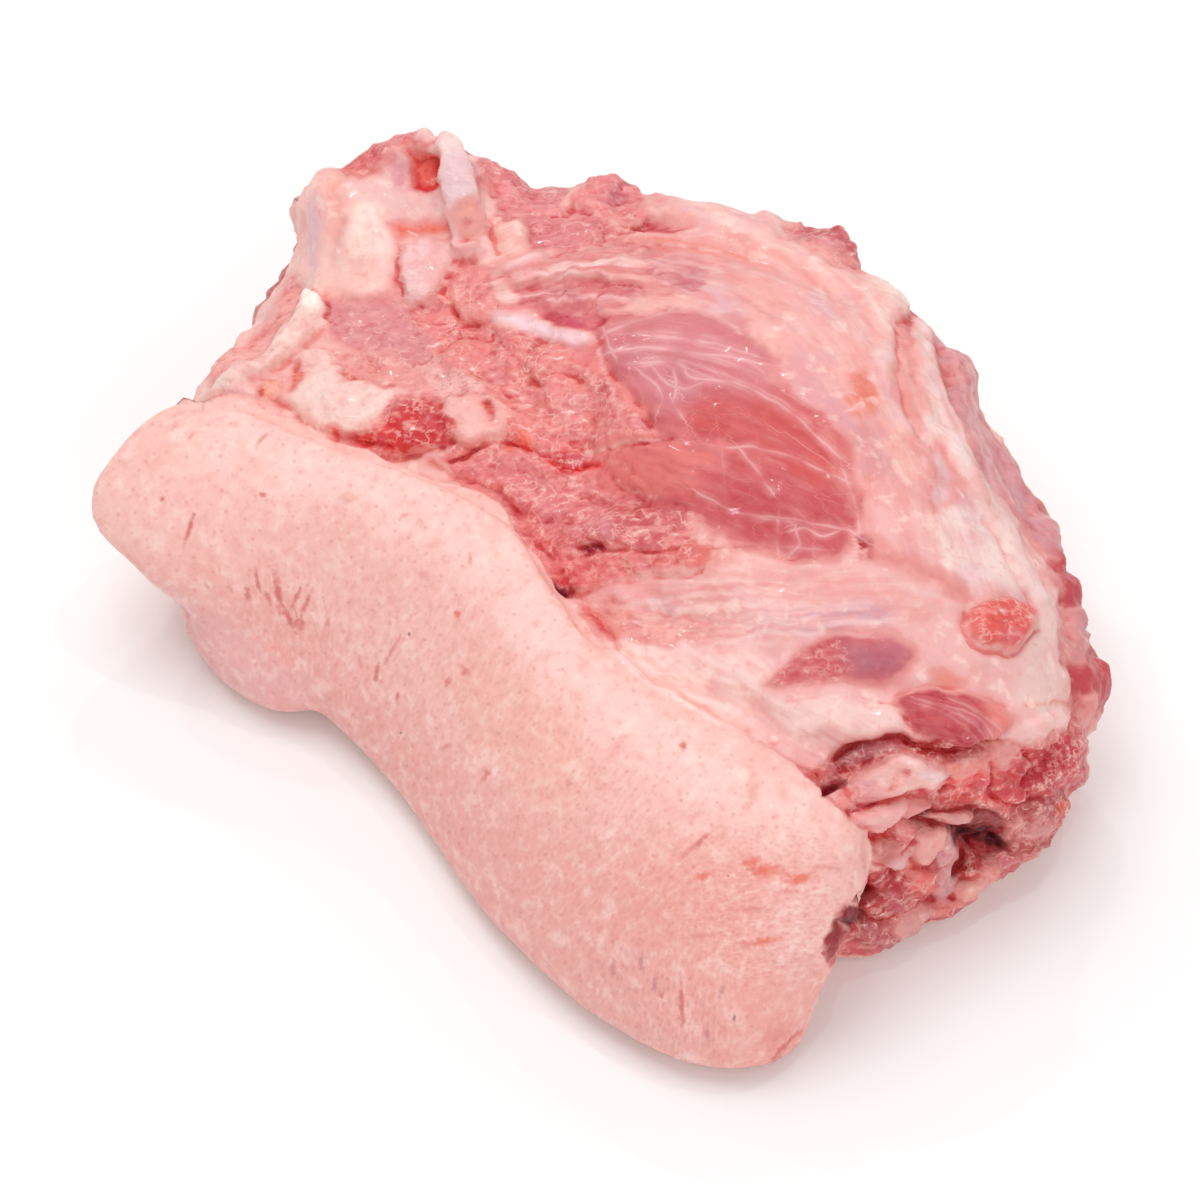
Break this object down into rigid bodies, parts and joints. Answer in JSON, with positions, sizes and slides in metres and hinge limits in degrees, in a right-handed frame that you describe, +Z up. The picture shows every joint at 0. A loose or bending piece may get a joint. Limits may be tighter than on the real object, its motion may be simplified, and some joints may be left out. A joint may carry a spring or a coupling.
{
  "type": "raw pork jowl",
  "caption": "Thick uneven slab of raw pork cheek, rind curling up one long side, with lean muscle, fat folds and craggy cut faces, lying on a flat base.",
  "frame": {"origin": "on the resting plane, at the middle of the slab's bounding box", "axes": "+X along the rind edge, from its lifted free end to its broad end; +Y from the rind towards the far cut side; +Z up"},
  "size_m": [0.264, 0.197, 0.084],
  "materials": {
    "raw_pork": "moist raw meat, fat and rind, semi-gloss"
  },
  "bodies": {
    "root": {"jowl": "raw_pork"}
  },
  "joints": []
}
